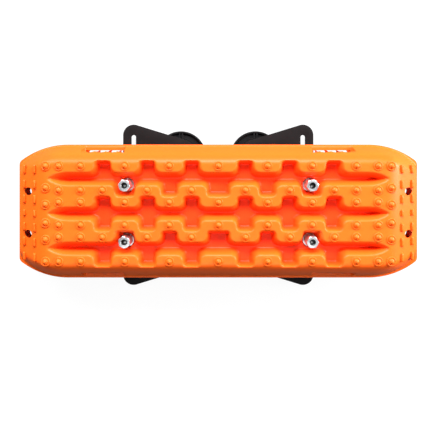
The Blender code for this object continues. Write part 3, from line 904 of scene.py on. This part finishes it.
def cup_pieces():
    body = housing()
    pad_profile = rounded([
        (3.0, 2.4), (20.0, 2.4), (22.0, 1.9), (24.0, 2.4), (34.0, 2.4), (36.0, 1.9), (38.0, 2.4), (49.0, 2.4),
        (52.8, 0.0), (58.6, 0.0), (61.5, 2.2), (61.5, 6.0), (3.0, 6.0),
    ], 0.7, 2)
    pad = make("pad_master", *lathe(pad_profile, 96, closed=True), RUBBER)
    # Domed screw with a six-sided socket.
    outer = [(4.0, 12.0), (4.0, 30.3), (7.6, 30.3), (8.0, 30.6), (8.0, 31.4), (7.7, 32.4), (6.9, 33.5), (5.8, 34.3), (4.6, 34.65), (3.6, 34.7)]
    rings = [ring_circle(r, z, 48) for r, z in outer]
    rings += [ring_hexagon(5.0, 34.6, 48), ring_hexagon(5.0, 31.9, 48), ring_circle(0.6, 31.3, 48)]
    screw = make("screw_master", *loft(rings), STEEL)
    plunger = make(
        "plunger_master",
        *lathe(rounded([(0.5, 18.2), (5.7, 18.2), (5.7, 25.0), (7.6, 25.0), (7.6, 29.2), (5.4, 29.2), (4.4, 28.6), (0.5, 28.3)], 0.7, 3, closed=False), 48),
        RED,
    )
    rings, steps = [], 24 * 3
    low, high, wire, mean = 8.7, 17.9, 0.5, 4.4
    for i in range(steps + 1):
        angle = 2 * math.pi * 3 * i / steps
        # The end turns lie flat, as on a ground spring.
        t = i / steps
        z = low + wire + (high - low - 2 * wire) * (t * t * (3 - 2 * t) * 0.35 + t * 0.65)
        rings.append([
            ((mean + wire * math.cos(2 * math.pi * k / 10)) * math.cos(angle), (mean + wire * math.cos(2 * math.pi * k / 10)) * math.sin(angle), z + wire * math.sin(2 * math.pi * k / 10))
            for k in range(10)
        ])
    spring = make("spring_master", *loft(rings), SPRING)
    for side, sx in SIDES:
        for end, sy in ENDS:
            tag = f"{side}_{end}"
            centre = (sx * CUP[0], sy * CUP[1], 0.0)
            pump = (sx * (CUP[0] - PUMP_AT), sy * CUP[1], 0.0)
            turn = 0.0 if sy > 0 else math.pi
            cover = mirrored_copy(body, f"cup_cover_{tag}", centre, turn, sx * sy > 0)
            settle(cover, "mount", f"cup_housing_{tag}")
            settle(mirrored_copy(pad, f"seal_pad_{tag}", centre, 0.0, False), "mount", f"cup_pad_{tag}")
            settle(mirrored_copy(screw, f"plate_screw_{tag}", centre, 0.3 * sx, False), "mount", f"cup_screw_{tag}")
            settle(mirrored_copy(plunger, f"thumb_pump_{tag}", pump, 0.0, False), f"pump_{tag}", f"pump_plunger_{tag}")
            coil = settle(mirrored_copy(spring, f"return_spring_{tag}", pump, 0.0, False), "mount", f"pump_spring_{tag}")
            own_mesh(coil)
    for master in (body, pad, screw, plunger, spring):
        bpy.data.objects.remove(master, do_unlink=True)


cup_pieces()


# =====================================================================
# The four clamping stacks
# =====================================================================
def washer(outer, inner, low, high):
    return lathe(rounded([(outer, low), (outer, high), (inner, high), (inner, low)], 0.45, 3), 64, closed=True)


def plain_nut(flats, bore, low, high):
    corner = flats / 2 * 1.1547
    chamfer = 1.5
    outer = [
        ring_hexagon(flats, low, 72, flats / 2 * 1.0), ring_hexagon(flats, low + chamfer * 0.45, 72, corner - 0.55),
        ring_hexagon(flats, low + chamfer, 72), ring_hexagon(flats, high - chamfer, 72),
        ring_hexagon(flats, high - chamfer * 0.45, 72, corner - 0.55), ring_hexagon(flats, high, 72, flats / 2 * 1.0),
    ]
    inner = [ring_circle(bore + 1.0, high, 72), ring_circle(bore, high - 1.0, 72), ring_circle(bore, low + 1.0, 72), ring_circle(bore + 1.0, low, 72)]
    return loft(outer + inner, closed=True)


def long_nut(low, high):
    """Coupling nut: chamfered ends, countersunk mouth and a threaded bore."""
    flats, corner = 24.0, 24.0 / 2 * 1.1547
    outer = [
        ring_hexagon(flats, low, 72, 11.9), ring_hexagon(flats, low + 0.7, 72, corner - 0.7), ring_hexagon(flats, low + 1.5, 72),
        ring_hexagon(flats, high - 1.5, 72), ring_hexagon(flats, high - 0.7, 72, corner - 0.7), ring_hexagon(flats, high - 0.12, 72, 12.05),
        ring_hexagon(flats, high, 72, 11.6),
    ]
    mouth = [ring_circle(7.0, high, 72), ring_circle(6.85, high - 0.12, 72), ring_circle(6.35, high - 0.7, 72)]
    thread = threaded(6.35, 5.75, 1.75, low + 1.2, high - 1.0, 72)[::-1]
    foot = [ring_circle(6.6, low, 72)]
    return loft(outer + mouth + thread + foot, closed=True)


FLOOR_LOW = LOWER_Z + POCKET_FLOOR
FLOOR_HIGH = FLOOR_LOW + PITCH
CLOCK = {"left_rear": 50.0, "right_rear": 10.0, "left_front": 36.0, "right_front": 0.0}


def stack_pieces():
    head = 24.7
    for side, sx in SIDES:
        for end, sy in ENDS:
            tag = f"{side}_{end}"
            at = (sx * PIN[0], BOARD_Y + sy * PIN[1], 0.0)
            clock = math.radians(CLOCK[tag])

            def piece(name, shape, paint, turn=0.0):
                soup = Soup().add(*shape, offset=at, turn=turn)
                return make(name, soup.points, soup.faces, paint)

            rings = [ring_hexagon(17.0, head - 5.6, 48, 8.4), ring_hexagon(17.0, head - 5.1, 48, 9.3), ring_hexagon(17.0, head - 4.6, 48), ring_hexagon(17.0, head, 48), ring_circle(5.0, head, 48), ring_circle(5.0, head + 3.0, 48)]
            rings += threaded(5.0, 4.3, 1.5, head + 3.0, 131.6, 48)
            rings += [ring_circle(4.5, 132.2, 48), ring_circle(3.8, 133.0, 48), ring_circle(2.6, 133.6, 48), ring_circle(1.2, 133.95, 48)]
            settle(piece(f"long_stud_{tag}", loft(rings), STEEL, clock * 0.6), "mount", f"stud_bolt_{tag}")
            settle(piece(f"plate_washer_{tag}", washer(12.0, 5.4, 30.3, 32.3), ZINC), "mount", f"slot_washer_{tag}")
            settle(piece(f"plate_nut_{tag}", plain_nut(17.0, 5.3, 32.6, 40.6), ZINC, clock + 0.4), "mount", f"lock_nut_{tag}")
            low = FLOOR_LOW - SKIN - 0.6 - 10.5
            settle(piece(f"rest_nut_{tag}", plain_nut(17.0, 5.3, low, low + 8.0), ZINC, clock - 0.3), "mount", f"support_nut_{tag}")
            low = FLOOR_LOW - SKIN - 0.3 - 2.5
            settle(piece(f"rest_washer_{tag}", washer(15.0, 5.4, low, low + 2.5), ZINC), "mount", f"support_washer_{tag}")
            sleeve = lathe(rounded([(10.0, FLOOR_LOW + 0.3), (10.0, FLOOR_HIGH - SKIN - 0.3), (5.4, FLOOR_HIGH - SKIN - 0.3), (5.4, FLOOR_LOW + 0.3)], 0.6, 2), 48, closed=True)
            settle(piece(f"spacer_sleeve_{tag}", sleeve, SPACER), "lower_deck", f"board_spacer_{tag}")
            settle(piece(f"wide_washer_{tag}", washer(15.0, 5.4, FLOOR_HIGH + 0.3, FLOOR_HIGH + 3.3), ZINC), "upper_deck", f"clamp_washer_{tag}")
            nut = piece(f"long_nut_{tag}", long_nut(FLOOR_HIGH + 3.6, 141.0), ZINC, clock)
            # Painted shade: the faces inside the bore get the near-black metal, for the dark inside of the bore.
            nut.data.materials.append(NUT_BORE_PAINTED_SHADE)
            for face in nut.data.polygons:
                if math.hypot(face.center[0] / MM - at[0], face.center[1] / MM - at[1]) < 6.75 and face.center[2] < 140.6 * MM:
                    face.material_index = 1
            settle(nut, f"nut_{tag}", f"coupling_nut_{tag}")


stack_pieces()


# =====================================================================
# Stage and light
# =====================================================================
def floor_material():
    n = Nodes("floor_paper")
    base = n.ramp(n.noise(3.0, 2.0), [(0.4, (0.085, 0.085, 0.085)), (0.6, (0.095, 0.095, 0.095))])
    n.set(Base_Color=base, Roughness=0.9)
    # Lit from below like a light table, for the eye only.
    seen = n.tree.nodes.new("ShaderNodeLightPath").outputs["Is Camera Ray"]
    n.shader.inputs["Emission Color"].default_value = (1.0, 1.0, 1.0, 1.0)
    n.link(n.remap(seen, 0.0, 1.0, 0.02, 0.93), n.shader.inputs["Emission Strength"])
    # Seen from underneath, the floor is out of the way.
    n.link(n.math("SUBTRACT", 1.0, n.tree.nodes.new("ShaderNodeNewGeometry").outputs["Backfacing"]), n.shader.inputs["Alpha"])
    return n.material


floor_mesh = bpy.data.meshes.new("floor")
floor_mesh.from_pydata([(-6, -6, -0.0005), (6, -6, -0.0005), (6, 6, -0.0005), (-6, 6, -0.0005)], [], [(0, 1, 2, 3)])
floor_mesh.materials.append(floor_material())
floor = bpy.data.objects.new("floor", floor_mesh)
scene.collection.objects.link(floor)


def lamp(name, place, aim, power, wide, tall, colour=(1.0, 1.0, 1.0)):
    data = bpy.data.lights.new(name, "AREA")
    data.shape = "RECTANGLE"
    data.size, data.size_y = wide, tall
    data.energy = power
    data.color = colour
    made = bpy.data.objects.new(name, data)
    made.location = place
    made.rotation_euler = (Vector(aim) - Vector(place)).to_track_quat("-Z", "Y").to_euler()
    scene.collection.objects.link(made)
    return made


lamp("rear_softbox", (0.1, 2.1, 1.85), (0.0, 0.0, 0.08), 140.0, 1.7, 0.7)
lamp("left_softbox", (-1.3, 1.2, 1.0), (-0.1, 0.0, 0.1), 26.0, 0.8, 0.6)
lamp("right_softbox", (1.75, 0.5, 0.8), (0.15, 0.0, 0.1), 60.0, 1.0, 0.8)
lamp("front_fill", (0.0, -1.3, 2.6), (0.0, 0.0, 0.08), 26.0, 2.4, 0.9)

world = bpy.data.worlds.new("studio")
world.use_nodes = True
backdrop = world.node_tree.nodes["Background"]
backdrop.inputs[0].default_value = (1.0, 1.0, 1.0, 1.0)
# A white backdrop for the eye, and next to no light from it on the part.
seen = world.node_tree.nodes.new("ShaderNodeLightPath").outputs["Is Camera Ray"]
level = world.node_tree.nodes.new("ShaderNodeMapRange")
level.inputs["To Min"].default_value = 0.03
level.inputs["To Max"].default_value = 0.95
world.node_tree.links.new(seen, level.inputs["Value"])
world.node_tree.links.new(level.outputs["Result"], backdrop.inputs[1])
scene.world = world
